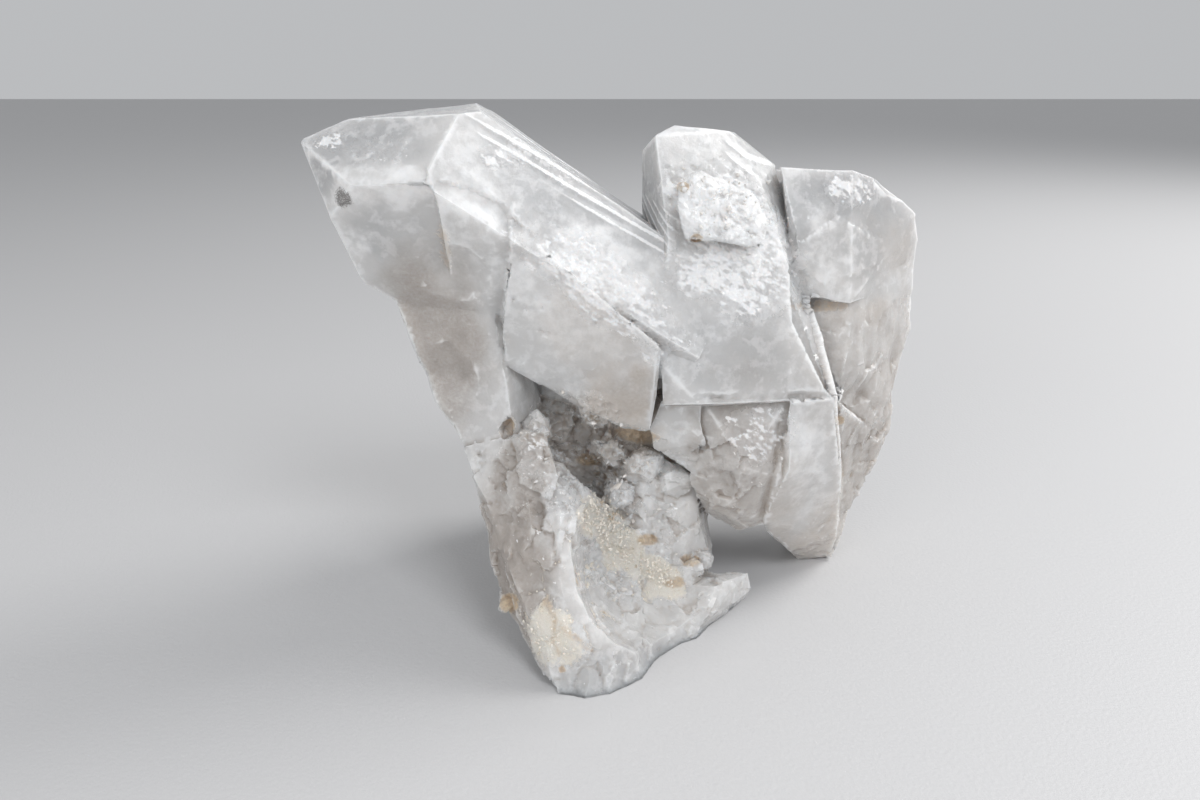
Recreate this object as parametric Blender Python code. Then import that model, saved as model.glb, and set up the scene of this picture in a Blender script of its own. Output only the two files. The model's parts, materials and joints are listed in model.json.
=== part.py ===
"""A hand-sized cluster of milky quartz crystals, grown together and standing on three broken feet.

Lengths below are millimetres: +X is the cluster's right, +Y its back, +Z up, and Z = 0 the table.
The finished solid is moved so that its origin lies under the middle of its box.
"""
import math

import bmesh
import bpy
from mathutils import Matrix, Vector, noise

MM = 0.001
OBJECT_NAME = "quartz_cluster"

# A quartz tip face leans this far from the crystal's long axis, and its six long faces turn by this step.
TIP_LEAN = math.radians(51.8)
SIDE_STEP = math.radians(60)
BLANK_SIZE = 400
FLAT_WITHIN = math.radians(1.5)
# Edges are split until none is longer than this part of a facet.
FACET_SPLIT = 0.9
SPLIT_PASSES = 4
# Where the three parts of a facet's lean are read in the noise.
LEAN_PLACES = (Vector((0.0, 0.0, 0.0)), Vector((9.2, 4.7, 1.3)), Vector((2.6, 8.1, 6.4)))
# No two corners of a block lie equally far along this direction, so it can put them in order.
SKEW = Vector((1.0, 2.3719, 5.1637))

# The big crystal leans up to the left. Its faces are in turn: top, back upper, back lower,
# bottom, front lower, front upper. "sides" are their distances from the heart, "tips" the places
# on the axis where the faces of the tip would meet it.
MAIN_CRYSTAL = {
    "heart": (-28.4, -6.1, 78.2),
    "axis": (-0.80, -0.19, 0.56),
    "facing": (0.567, 0.038, 0.823),
    "sides": (18.0, 15.0, 15.0, 17.0, 11.3, 16.0),
    "tips": (25.0, 18.1, 19.7, 24.9, 27.6, 25.2),
    "root": 50,
}

# Four crystals that stand on the back of the cluster, out of the photographed side.
BACK_CRYSTALS = (
    {
        "heart": (-10.0, 22.0, 46.0),
        "axis": (-0.50, 0.36, 0.79),
        "facing": (0.20, 0.97, -0.10),
        "sides": (9.5, 11.0, 9.0, 9.5, 10.0, 9.5),
        "tips": (19.0, 24.0, 20.0, 17.0, 18.5, 22.0),
        "root": 30,
    },
    {
        "heart": (18.0, 27.0, 40.0),
        "axis": (0.20, 0.50, 0.84),
        "facing": (-0.30, 0.92, -0.20),
        "sides": (8.5, 10.0, 8.5, 9.5, 8.0, 9.5),
        "tips": (15.5, 20.0, 16.0, 18.0, 21.0, 17.0),
        "root": 26,
    },
    {
        "heart": (-12.0, 22.0, 24.0),
        "axis": (-0.66, 0.60, 0.45),
        "facing": (0.30, 0.75, -0.40),
        "sides": (6.5, 7.5, 7.0, 6.5, 8.0, 7.0),
        "tips": (12.5, 16.0, 13.5, 13.0, 15.5, 14.5),
        "root": 22,
    },
    {
        "heart": (38.0, 27.0, 30.0),
        "axis": (0.38, 0.80, 0.46),
        "facing": (-0.80, 0.30, 0.50),
        "sides": (7.0, 8.0, 7.5, 7.0, 8.0, 7.5),
        "tips": (12.0, 15.0, 12.5, 13.5, 16.0, 13.0),
        "root": 20,
    },
)

# Small crystals that stand in the hollow under the big one, on the lumps beside it and on the back:
# heart, axis, half width, length from heart to tip.
SMALL_CRYSTALS = (
    ((-1.5, -5.5, 43.0), (0.25, -0.30, -0.92), 2.6, 6.5),
    ((-11.5, -9.0, 39.5), (0.10, -0.20, 0.97), 2.4, 3.6),
    ((-8.0, 0.0, 37.0), (0.60, -0.75, 0.25), 4.6, 5.5),
    ((1.5, -1.0, 32.0), (-0.45, -0.80, 0.40), 3.8, 5.5),
    ((9.0, -3.0, 29.5), (0.50, -0.62, 0.60), 3.6, 4.5),
    ((14.5, -2.0, 25.0), (0.72, -0.60, 0.35), 3.2, 5.0),
    ((3.5, -5.0, 23.0), (-0.25, -0.78, 0.57), 2.8, 5.0),
    ((17.5, -7.5, 8.5), (0.55, -0.50, 0.66), 2.0, 4.0),
    ((20.5, -5.5, 9.0), (0.20, -0.70, 0.68), 1.6, 3.6),
    ((4.0, 30.0, 31.0), (-0.25, 0.80, 0.55), 5.0, 8.0),
    ((25.0, 29.0, 18.0), (0.10, 0.90, 0.40), 4.5, 8.5),
    ((6.0, 31.0, 14.0), (-0.10, 0.95, 0.25), 3.8, 7.0),
    ((-17.0, 10.0, 40.0), (-0.90, 0.25, 0.35), 5.0, 9.0),
    ((50.0, 30.0, 44.0), (0.55, 0.78, 0.30), 5.0, 8.0),
)

# Each block is the hull of its corners, then broken into flat facets: facet is their width and
# depth how far they stand in or out. A depth of zero keeps the faces as they are.
BLOCKS = {
    "shelf": {"facet": 0, "depth": 0, "corners": (
        (-14.8, -17.2, 70.5), (-16.1, -15.0, 65.0), (-16.8, -12.8, 57.5), (-16.8, -10.8, 51.5),
        (-3.7, -9.0, 42.5), (-0.5, -9.5, 43.0), (4.5, -9.0, 38.5), (9.0, -9.5, 38.2), (10.1, -11.0, 45.5),
        (10.6, -13.5, 55.0), (-9.5, -18.2, 73.3), (9.8, -15.0, 56.5), (-10.0, 4.0, 60.0), (8.0, 4.0, 48.0),
        (-13.0, 0.0, 52.0),
    )},
    "middle crystal": {"facet": 0, "depth": 0, "corners": (
        (7.5, 6.0, 86.0), (9.5, 0.0, 89.0), (13.0, 4.0, 90.5), (23.0, 6.0, 89.5), (24.5, 10.0, 89.0),
        (32.5, 12.0, 83.0), (7.5, 6.0, 76.5), (11.5, -8.0, 73.0), (28.5, 2.0, 81.0), (33.0, -3.0, 68.0),
        (34.0, -5.5, 58.0), (43.5, -7.0, 43.5), (17.5, -12.5, 44.5), (11.0, -11.5, 44.0), (10.5, -12.0, 52.0),
        (12.0, 20.0, 84.0), (28.0, 22.0, 84.0), (22.0, 24.0, 27.0), (44.0, 24.0, 27.0),
    )},
    "druse band": {"facet": 4, "depth": 0.7, "corners": (
        (14.0, -4.0, 82.5), (17.0, -3.0, 83.5), (26.5, -1.5, 80.0), (29.5, -3.5, 74.5), (28.0, -6.0, 71.0),
        (20.0, -9.0, 73.0), (14.0, -10.5, 73.0), (13.0, -8.5, 78.5), (16.5, 5.0, 76.0), (28.0, 5.0, 74.0),
    )},
    "lower block": {"facet": 12, "depth": 0.6, "corners": (
        (18.0, -8.0, 44.5), (34.5, -6.5, 44.0), (35.0, -7.0, 27.5), (32.5, -3.0, 16.0), (28.0, -1.0, 13.0),
        (20.5, -2.0, 18.0), (17.0, -6.0, 27.0), (26.5, -10.5, 31.5), (22.5, -8.5, 24.0),
        (21.0, 20.0, 34.0), (40.0, 20.0, 34.0), (35.0, 18.0, 10.5), (26.0, 16.0, 12.5),
    )},
    "side slab": {"facet": 9, "depth": 0.8, "corners": (
        (34.0, -9.0, 44.0), (43.0, -7.0, 44.0), (46.5, -3.5, 27.5), (49.5, 6.0, 7.5), (49.5, 10.0, 3.0),
        (43.0, 9.0, 1.5), (33.5, 0.0, 13.0), (31.5, -4.0, 17.0), (35.0, -8.5, 30.0),
        (42.5, 20.0, 33.5), (54.5, 22.0, 16.0), (43.5, 12.0, -1.5), (49.5, 13.0, -1.5), (50.0, 24.0, -1.5),
        (43.0, 22.0, -1.5),
    )},
    "right crystal": {"facet": 11, "depth": 0.5, "corners": (
        (32.0, 4.0, 83.5), (45.5, 6.0, 82.5), (35.0, 1.0, 72.5), (36.0, 1.0, 60.5), (46.5, 3.0, 59.0),
        (47.5, 8.0, 81.5), (51.5, 10.0, 80.5), (61.0, 16.0, 73.5), (63.0, 18.0, 68.0), (62.5, 18.5, 60.0),
        (35.0, 24.0, 81.0), (50.0, 30.0, 77.0), (61.0, 32.0, 68.0), (60.0, 33.0, 52.0), (43.5, 28.0, 52.0),
    )},
    "right wall": {"facet": 6, "depth": 1.1, "corners": (
        (37.0, 4.0, 60.0), (47.5, 5.0, 58.0), (51.0, 8.5, 63.0), (62.8, 18.0, 66.0), (63.5, 18.0, 49.5),
        (63.0, 17.0, 41.0), (60.5, 15.0, 28.5), (57.0, 14.0, 17.5), (53.0, 13.0, 8.5), (50.5, 11.0, 2.5),
        (46.0, 0.0, 41.0), (42.0, 2.0, 41.0), (61.0, 33.0, 50.0), (58.0, 34.0, 24.0), (54.0, 27.0, 6.0),
        (45.0, 33.0, 29.5), (43.5, 28.0, 50.0),
    )},
    "trunk": {"facet": 10, "depth": 0.7, "corners": (
        (-36.0, -9.0, 65.0), (-33.5, -9.0, 57.0), (-29.5, -9.5, 44.0), (-24.5, -11.0, 35.5),
        (-18.0, -11.0, 63.5), (-16.0, -9.5, 52.0), (-15.5, -12.0, 39.5), (-13.0, -6.0, 43.0),
        (-8.0, 2.0, 32.0), (-26.0, 10.0, 60.0), (-20.0, 14.0, 31.0), (-8.5, 18.0, 30.5),
    )},
    "front foot": {"facet": 7, "depth": 1.2, "corners": (
        (-24.5, -11.0, 35.5), (-21.5, -15.0, 25.5), (-19.5, -18.0, 17.0), (-17.0, -21.0, 8.0),
        (-10.5, -28.0, 3.0), (-5.0, -36.4, -1.5), (1.5, -35.0, -1.5), (11.0, -27.5, -1.5), (16.5, -21.5, -1.5), (29.0, -5.5, -1.5),
        (-12.5, -26.0, 13.0), (-6.0, -29.5, 8.0), (3.5, -28.0, 9.5), (12.0, -20.0, 7.0), (0.0, -21.0, 20.0),
        (-7.5, -19.0, 33.0), (-15.0, -13.0, 39.5), (-19.0, 5.0, 30.5), (-16.0, 4.0, 8.0),
        (-7.5, -16.0, -1.5), (8.0, -8.0, -1.5), (-2.0, -10.0, 22.0),
    )},
    "foot lip": {"facet": 6, "depth": 0.6, "corners": (
        (29.0, -5.5, 0.6), (29.5, -8.0, 4.0), (28.5, -8.0, 8.0), (19.0, -13.5, 7.0), (11.0, -18.5, 7.0),
        (14.0, -21.0, 1.0), (19.0, -4.0, 6.0), (22.0, 0.0, 3.0), (10.0, -9.0, 7.0), (8.0, -12.0, 2.0),
    )},
    "knob": {"facet": 7, "depth": 0.5, "corners": (
        (-15.5, -14.0, 38.5), (-14.0, -14.0, 40.5), (-9.5, -14.0, 40.0), (-9.0, -16.0, 36.5),
        (-7.0, -19.0, 33.5), (-8.5, -21.0, 30.0), (-14.0, -18.0, 32.0), (-16.0, -2.0, 33.5),
        (-10.5, -2.0, 33.5), (-9.5, -6.0, 25.0),
    )},
    "bridge": {"facet": 5, "depth": 0.9, "corners": (
        (11.0, -9.5, 44.0), (18.0, -10.0, 44.0), (19.0, -9.0, 36.0), (17.5, -6.0, 28.5), (10.0, -7.0, 34.0),
        (9.0, -8.0, 38.0), (10.0, 10.0, 40.0), (18.0, 10.0, 34.0),
    )},
    "inner lump": {"facet": 6, "depth": 1.1, "corners": (
        (2.0, 1.0, 29.0), (8.5, -2.0, 31.5), (17.5, -2.0, 26.0), (18.5, -3.0, 22.5), (21.5, -4.0, 8.0),
        (20.0, -7.0, 3.5), (13.0, -11.0, 3.0), (8.0, -9.0, 12.0), (0.0, -4.0, 20.5),
        (2.0, 18.0, 26.0), (21.5, 18.0, 20.0), (24.0, 12.0, 5.0), (2.0, 0.0, 4.0),
    )},
    "heart of the cluster": {"facet": 9, "depth": 1.3, "corners": (
        (-20.0, 4.0, 62.0), (-12.0, -1.0, 54.0), (-10.0, 1.0, 30.0), (8.0, -3.0, 48.0), (4.0, 0.0, 24.0),
        (-12.0, 22.0, 60.0), (-15.0, 25.0, 22.0), (22.0, 24.0, 66.0), (46.0, 12.0, 58.0), (46.0, 27.0, 52.0),
        (44.0, 14.0, 14.0), (38.0, 27.0, 12.0), (4.0, 25.0, 8.0), (0.0, 4.0, 9.0), (14.0, 30.0, 24.0),
    )},
    "back foot": {"facet": 7, "depth": 1.2, "corners": (
        (-13.0, 16.0, -1.5), (8.0, 12.0, -1.5), (16.0, 27.0, -1.5), (2.0, 34.0, -1.5), (-12.0, 30.0, -1.5),
        (-19.0, 17.0, 18.0), (18.0, 10.0, 18.0), (26.0, 30.0, 22.0), (-14.0, 33.0, 20.0), (6.0, 36.0, 22.0),
    )},
    "left nub": {"facet": 0, "depth": 0, "corners": (
        (-18.5, -20.5, 12.0), (-18.3, -21.8, 9.3), (-16.8, -22.8, 8.6), (-15.0, -22.5, 10.5),
        (-15.0, -18.0, 12.0), (-16.0, -19.0, 8.5),
    )},
}

# Shell-shaped breaks: a place on the surface, the way out of the stone there, the ball's radius
# and how deep it digs in.
BITES = (
    ((21.5, -8.0, 25.5), (-0.35, -0.90, -0.20), 20, 1.6),
    ((-24.5, -13.5, 66.0), (-0.10, -0.93, -0.35), 19, 1.5),
    ((-24.0, -11.5, 48.0), (-0.30, -0.94, 0.05), 22, 1.6),
    ((56.0, 12.0, 78.0), (0.55, -0.45, 0.70), 16, 1.5),
    ((62.0, 24.0, 36.0), (0.97, -0.20, 0.05), 22, 2.0),
    ((-4.0, -33.0, 4.5), (-0.25, -0.90, 0.35), 14, 1.2),
    ((16.0, -18.5, 4.0), (0.45, -0.80, 0.30), 22, 1.2),
    ((52.0, 32.0, 76.0), (0.35, 0.60, 0.70), 20, 1.8),
    ((-24.0, 6.0, 46.0), (-0.90, 0.40, 0.10), 18, 2.4),
    ((30.0, 29.0, 28.0), (0.20, 0.95, -0.20), 20, 2.6),
    ((-14.0, 6.0, 18.0), (-0.95, 0.10, -0.20), 16, 1.8),
)

# Small pits and cracks: centre, half sizes, turn about Y in degrees.
PITS = (
    ((46.3, -1.2, 37.5), (0.9, 2.4, 1.3), 0),
    ((46.2, -1.0, 42.5), (0.5, 2.2, 4.8), 4),
    ((15.8, -10.6, 72.4), (0.9, 2.0, 0.8), 0),
    ((40.5, 1.5, 59.2), (4.6, 3.6, 1.0), 3),
    ((-16.5, -12.0, 39.8), (1.5, 2.6, 2.2), 20),
    ((5.5, -13.0, 14.5), (8.5, 3.2, 1.7), 42),
)


def new_object(name, bm):
    """Put a finished bmesh into an object of its own."""
    bm.normal_update()
    mesh = bpy.data.meshes.new(name)
    bm.to_mesh(mesh)
    bm.free()
    return bpy.data.objects.new(name, mesh)


def slice_off(bm, point, outward):
    """Cut a closed shape by a plane, drop what lies outside and close the cut."""
    every = bm.verts[:] + bm.edges[:] + bm.faces[:]
    cut = bmesh.ops.bisect_plane(bm, geom=every, plane_co=point, plane_no=outward, clear_outer=True, dist=1e-7)
    rim = [part for part in cut["geom_cut"] if isinstance(part, bmesh.types.BMEdge)]
    if rim:
        bmesh.ops.contextual_create(bm, geom=rim)


def crystal(name, heart, axis, facing, sides, tips, root):
    """A six-sided quartz crystal: a cube cut by the six long faces, the six tip faces and its root."""
    axis = Vector(axis).normalized()
    facing = Vector(facing)
    facing = (facing - axis * facing.dot(axis)).normalized()
    heart = Vector(heart)
    bm = bmesh.new()
    bmesh.ops.create_cube(bm, size=BLANK_SIZE * MM)
    bmesh.ops.translate(bm, vec=heart * MM, verts=bm.verts)
    for index, (side, tip) in enumerate(zip(sides, tips)):
        outward = Matrix.Rotation(SIDE_STEP * index, 3, axis) @ facing
        tip_outward = axis * math.cos(TIP_LEAN) + outward * math.sin(TIP_LEAN)
        slice_off(bm, (heart + outward * side) * MM, outward)
        slice_off(bm, (heart + axis * tip) * MM, tip_outward)
    slice_off(bm, (heart - axis * root) * MM, -axis)
    return new_object(name, bm)


def small_crystal(name, heart, axis, half_width, length):
    """A short crystal with unlike faces, turned by its own place so that no two match."""
    turn = Vector((heart[1], heart[2], heart[0]))
    sides = [half_width * (1 + 0.14 * math.sin(2.4 * index + heart[0])) for index in range(6)]
    tips = [length * (1 + 0.10 * math.sin(1.9 * index + heart[2])) for index in range(6)]
    return crystal(name, heart, axis, turn, sides, tips, half_width * 2.2)


def split_long_edges(bm, longest):
    """Halve the edges over the given length, and then their halves, in a few passes."""
    for _ in range(SPLIT_PASSES):
        sort_by_place(bm)
        long_edges = [edge for edge in bm.edges if edge.calc_length() > longest]
        bmesh.ops.subdivide_edges(bm, edges=long_edges, cuts=1)
        sort_by_place(bm)
        cut_faces = [face for face in bm.faces if len(face.verts) > 3]
        bmesh.ops.triangulate(bm, faces=cut_faces, quad_method="SHORT_EDGE", ngon_method="EAR_CLIP")


def rank(places):
    """A number that only the given places decide: how far their middle lies along one skew direction."""
    middle = sum(places, Vector()) / len(places)
    return middle.dot(SKEW)


def sort_by_place(bm):
    """Put corners, edges and faces in an order that only their places decide, so each run gives one result."""
    bm.verts.sort(key=lambda vert: rank([vert.co]))
    bm.edges.sort(key=lambda edge: rank([vert.co for vert in edge.verts]))
    bm.faces.sort(key=lambda face: rank([vert.co for vert in face.verts]))


def hull_of(corners):
    """The closed hull of a list of corners."""
    loose = bmesh.new()
    for corner in corners:
        loose.verts.new(Vector(corner) * MM)
    bmesh.ops.convex_hull(loose, input=loose.verts)
    bmesh.ops.recalc_face_normals(loose, faces=loose.faces)
    sort_by_place(loose)
    # The hull comes out with each face's first corner left to chance, so it is made anew in a fixed order.
    bm = bmesh.new()
    copies = {vert: bm.verts.new(vert.co) for vert in loose.verts if vert.link_faces}
    for face in loose.faces:
        ring = list(face.verts)
        first = min(range(len(ring)), key=lambda index: rank([ring[index].co]))
        bm.faces.new([copies[vert] for vert in ring[first:] + ring[:first]])
    loose.free()
    return bm


def facet_height(place, facet):
    """How far the surface stands out at a place: each Voronoi cell is a flat facet with its own lean and level."""
    spot = place / facet
    seed = noise.voronoi(spot)[1][0]
    lean = Vector([noise.noise(seed * 7.1 + apart) for apart in LEAN_PLACES])
    level = noise.noise(seed * 3.3)
    return 1.2 * level + 1.6 * lean.dot(spot - seed)


def block(name, facet, depth, corners):
    """A lump of quartz: the hull of its corners, broken into flat facets that stand in or out.

    Every corner moves straight away from the middle or towards it, so the skin never folds over itself.
    """
    bm = hull_of(corners)
    if depth:
        split_long_edges(bm, facet * FACET_SPLIT * MM)
        middle = sum((vert.co for vert in bm.verts), Vector()) / len(bm.verts)
        shift = Vector(corners[0]) * 0.37
        for vert in bm.verts:
            away = (vert.co - middle).normalized()
            vert.co += away * MM * depth * facet_height(vert.co / MM + shift, facet)
    return new_object(name, bm)


def bite(name, at, outward, radius, depth):
    """A large ball that digs a little way in: what it takes away leaves a shell-shaped break."""
    centre = Vector(at) + Vector(outward).normalized() * (radius - depth)
    bm = bmesh.new()
    bmesh.ops.create_icosphere(bm, subdivisions=3, radius=radius * MM)
    bmesh.ops.translate(bm, vec=centre * MM, verts=bm.verts)
    return new_object(name, bm)


def pit(name, centre, half_sizes, turn):
    """A coarse eight-sided bead for a pit or, drawn long, a crack."""
    bm = bmesh.new()
    bmesh.ops.create_icosphere(bm, subdivisions=1, radius=MM)
    bmesh.ops.scale(bm, vec=half_sizes, verts=bm.verts)
    bmesh.ops.rotate(bm, matrix=Matrix.Rotation(math.radians(turn), 3, "Y"), verts=bm.verts)
    bmesh.ops.translate(bm, vec=Vector(centre) * MM, verts=bm.verts)
    return new_object(name, bm)


def combine(base, others, operation):
    """Join other solids to the base, or cut them out of it, one after the other."""
    for other in others:
        modifier = base.modifiers.new(other.name, "BOOLEAN")
        modifier.operation = operation
        modifier.solver = "EXACT"
        modifier.object = other
        bpy.context.view_layer.update()
        result = bpy.data.meshes.new_from_object(base.evaluated_get(bpy.context.evaluated_depsgraph_get()))
        base.modifiers.clear()
        base.data = result


def quartz_material():
    """Milky quartz: a cool near-white with a soft gloss."""
    material = bpy.data.materials.new("milky_quartz")
    material.use_nodes = True
    shader = material.node_tree.nodes["Principled BSDF"]
    shader.inputs["Base Color"].default_value = (0.80, 0.79, 0.77, 1.0)
    shader.inputs["Roughness"].default_value = 0.32
    shader.inputs["Metallic"].default_value = 0.0
    shader.inputs["IOR"].default_value = 1.544
    return material


def table_cutter():
    """A slab whose top is the table, so that the three feet are cut to flat faces."""
    bm = bmesh.new()
    bmesh.ops.create_cube(bm, size=BLANK_SIZE * MM)
    bmesh.ops.translate(bm, vec=(0, 0, -BLANK_SIZE / 2 * MM), verts=bm.verts)
    return new_object("table", bm)


def shells(bm):
    """The connected shells of a mesh, each as a list of its corners, the largest first."""
    left = set(bm.verts)
    found = []
    while left:
        shell = {left.pop()}
        edge_of_shell = list(shell)
        while edge_of_shell:
            vert = edge_of_shell.pop()
            near = {edge.other_vert(vert) for edge in vert.link_edges} & left
            left -= near
            shell |= near
            edge_of_shell.extend(near)
        found.append(list(shell))
    return sorted(found, key=len, reverse=True)


def keep_one_body(bm):
    """Drop the chips that a break has cut loose, and shells shut up inside the stone."""
    for shell in shells(bm)[1:]:
        bmesh.ops.delete(bm, geom=shell, context="VERTS")


def move_to_origin(bm):
    """Put the origin on the table, under the middle of the cluster's box."""
    xs = [vert.co.x for vert in bm.verts]
    ys = [vert.co.y for vert in bm.verts]
    zs = [vert.co.z for vert in bm.verts]
    middle = Vector(((min(xs) + max(xs)) / 2, (min(ys) + max(ys)) / 2, min(zs)))
    bmesh.ops.translate(bm, vec=-middle, verts=bm.verts)


def build_cluster():
    """Grow the crystals and blocks together, break the shells and pits out of them and settle the feet."""
    for old in list(bpy.data.objects):
        bpy.data.objects.remove(old)
    collection = bpy.data.collections.new(OBJECT_NAME)
    bpy.context.scene.collection.children.link(collection)

    base = crystal("main crystal", **MAIN_CRYSTAL)
    joined = [block(name, **shape) for name, shape in BLOCKS.items()]
    joined += [crystal("back crystal", **shape) for shape in BACK_CRYSTALS]
    joined += [small_crystal("small crystal", *shape) for shape in SMALL_CRYSTALS]
    cutters = [bite("bite", *shape) for shape in BITES]
    cutters += [pit("pit", *shape) for shape in PITS]
    cutters.append(table_cutter())
    for piece in [base] + joined + cutters:
        collection.objects.link(piece)

    combine(base, joined, "UNION")
    combine(base, cutters, "DIFFERENCE")
    for piece in joined + cutters:
        bpy.data.objects.remove(piece)

    bm = bmesh.new()
    bm.from_mesh(base.data)
    keep_one_body(bm)
    bmesh.ops.dissolve_limit(bm, angle_limit=FLAT_WITHIN, verts=bm.verts, edges=bm.edges)
    bmesh.ops.triangulate(bm, faces=bm.faces)
    move_to_origin(bm)
    bm.to_mesh(base.data)
    bm.free()
    base.name = OBJECT_NAME
    base.data.name = OBJECT_NAME
    base.data.materials.clear()
    base.data.materials.append(quartz_material())


build_cluster()
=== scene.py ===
import json
import math

import bmesh
import bpy
import numpy as np
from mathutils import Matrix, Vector

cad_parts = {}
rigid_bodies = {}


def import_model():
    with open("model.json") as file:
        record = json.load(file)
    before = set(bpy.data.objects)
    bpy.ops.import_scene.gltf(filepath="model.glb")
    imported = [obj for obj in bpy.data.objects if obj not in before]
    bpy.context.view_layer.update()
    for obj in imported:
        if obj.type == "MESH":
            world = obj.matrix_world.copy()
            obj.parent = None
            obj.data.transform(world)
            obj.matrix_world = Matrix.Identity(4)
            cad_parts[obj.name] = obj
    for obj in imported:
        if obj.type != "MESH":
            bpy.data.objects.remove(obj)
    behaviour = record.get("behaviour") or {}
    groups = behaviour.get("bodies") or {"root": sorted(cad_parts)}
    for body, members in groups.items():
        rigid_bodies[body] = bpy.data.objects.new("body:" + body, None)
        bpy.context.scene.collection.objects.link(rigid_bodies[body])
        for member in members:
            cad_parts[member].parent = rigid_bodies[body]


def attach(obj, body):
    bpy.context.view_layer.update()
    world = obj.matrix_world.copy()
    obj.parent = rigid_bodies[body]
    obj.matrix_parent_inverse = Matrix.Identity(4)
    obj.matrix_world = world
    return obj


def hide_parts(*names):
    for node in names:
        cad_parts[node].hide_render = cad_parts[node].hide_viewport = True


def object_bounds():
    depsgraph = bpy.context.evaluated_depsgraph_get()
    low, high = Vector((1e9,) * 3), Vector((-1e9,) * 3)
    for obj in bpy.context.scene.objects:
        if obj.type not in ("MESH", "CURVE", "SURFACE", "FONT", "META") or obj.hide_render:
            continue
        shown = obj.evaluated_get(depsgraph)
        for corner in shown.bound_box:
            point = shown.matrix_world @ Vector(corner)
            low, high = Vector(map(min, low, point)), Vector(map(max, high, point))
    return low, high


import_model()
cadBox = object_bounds()
lowCorner = np.array([float(value) for value in cadBox[0]])
highCorner = np.array([float(value) for value in cadBox[1]])
print("frame loaded", lowCorner, highCorner)

# The view: a lens 100 mm above the table, looking a little down at the cluster.
view = {"lens": 27.0, "sensor": 36.0, "pitch": math.radians(20.3), "focal": 900.0, "centre": (600.0, 400.0)}
# Where the lens stands, measured from the cluster's low X side and high Y side.
eye = np.array([lowCorner[0] * 1000 + 46.88, highCorner[1] * 1000 - 197.81, 100.0])

cameraData = bpy.data.cameras.new("camera")
cameraData.lens = view["lens"]
cameraData.sensor_width = view["sensor"]
cameraData.clip_start = 0.01
camera = bpy.data.objects.new("camera", cameraData)
camera.location = eye / 1000
camera.rotation_euler = (math.pi / 2 - view["pitch"], 0, 0)
bpy.context.scene.collection.objects.link(camera)
bpy.context.scene.camera = camera
bpy.context.scene.view_settings.view_transform = "Standard"


def scramble(ix, iy, iz, seed):
    # whole numbers mixed by odd factors and shifts, read as a fraction from 0 to 1
    mixed = (ix.astype(np.int64) * 73856093) ^ (iy.astype(np.int64) * 19349663) ^ (iz.astype(np.int64) * 83492791)
    mixed = (mixed ^ (seed * 40503 + 977)) & 0xFFFFFFFF
    mixed = (mixed ^ (mixed >> 15)) * 2246822519 & 0xFFFFFFFF
    mixed = (mixed ^ (mixed >> 13)) * 3266489917 & 0xFFFFFFFF
    mixed = mixed ^ (mixed >> 16)
    return mixed / 4294967295.0


def cloud(points, size, seed, layers=1):
    # value noise from -1 to 1: random heights on a grid, smoothly joined, each layer half as large as the last
    total = np.zeros(len(points))
    weight = 1.0
    for layer in range(layers):
        spot = points / size * (2.0 ** layer) + 31.7 * layer
        cell = np.floor(spot)
        part = spot - cell
        part = part * part * (3 - 2 * part)
        ix, iy, iz = (cell[:, k].astype(np.int64) for k in range(3))
        value = np.zeros(len(points))
        for dx in (0, 1):
            for dy in (0, 1):
                for dz in (0, 1):
                    share = np.abs(1 - dx - part[:, 0]) * np.abs(1 - dy - part[:, 1]) * np.abs(1 - dz - part[:, 2])
                    value += share * scramble(ix + dx, iy + dy, iz + dz, seed + layer)
        total += weight * (value * 2 - 1)
        weight *= 0.5
    return total


def facets(points, size, seed):
    # the nearest random seed point decides the facet; height = its level + its lean along the way to the point
    spot = points / size
    cell = np.floor(spot).astype(np.int64)
    best = np.full(len(points), 9.0)
    height = np.zeros(len(points))
    for dx in (-1, 0, 1):
        for dy in (-1, 0, 1):
            for dz in (-1, 0, 1):
                ix, iy, iz = cell[:, 0] + dx, cell[:, 1] + dy, cell[:, 2] + dz
                jitter = np.stack([scramble(ix, iy, iz, seed + k) for k in range(3)], axis=1)
                away = spot - (np.stack([ix, iy, iz], axis=1) + jitter)
                distance = np.sqrt((away ** 2).sum(axis=1))
                nearer = distance < best
                best = np.where(nearer, distance, best)
                level = scramble(ix, iy, iz, seed + 7)
                lean = np.stack([scramble(ix, iy, iz, seed + 11 + k) for k in range(3)], axis=1) - 0.5
                height = np.where(nearer, 0.45 * (level - 0.5) + 2.3 * (lean * away).sum(axis=1), height)
    return height


def smooth(low, high, value):
    part = np.clip((value - low) / (high - low), 0, 1)
    return part * part * (3 - 2 * part)


def toView(points):
    # a place in the 1200 x 800 view by perspective: the shift from the eye,
    # split along the view's own axes and divided by the depth
    away = points - eye
    depth = away[:, 1] * math.cos(view["pitch"]) - away[:, 2] * math.sin(view["pitch"])
    rise = away[:, 1] * math.sin(view["pitch"]) + away[:, 2] * math.cos(view["pitch"])
    u = view["centre"][0] + view["focal"] * away[:, 0] / depth
    v = view["centre"][1] - view["focal"] * rise / depth
    return u, v


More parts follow.
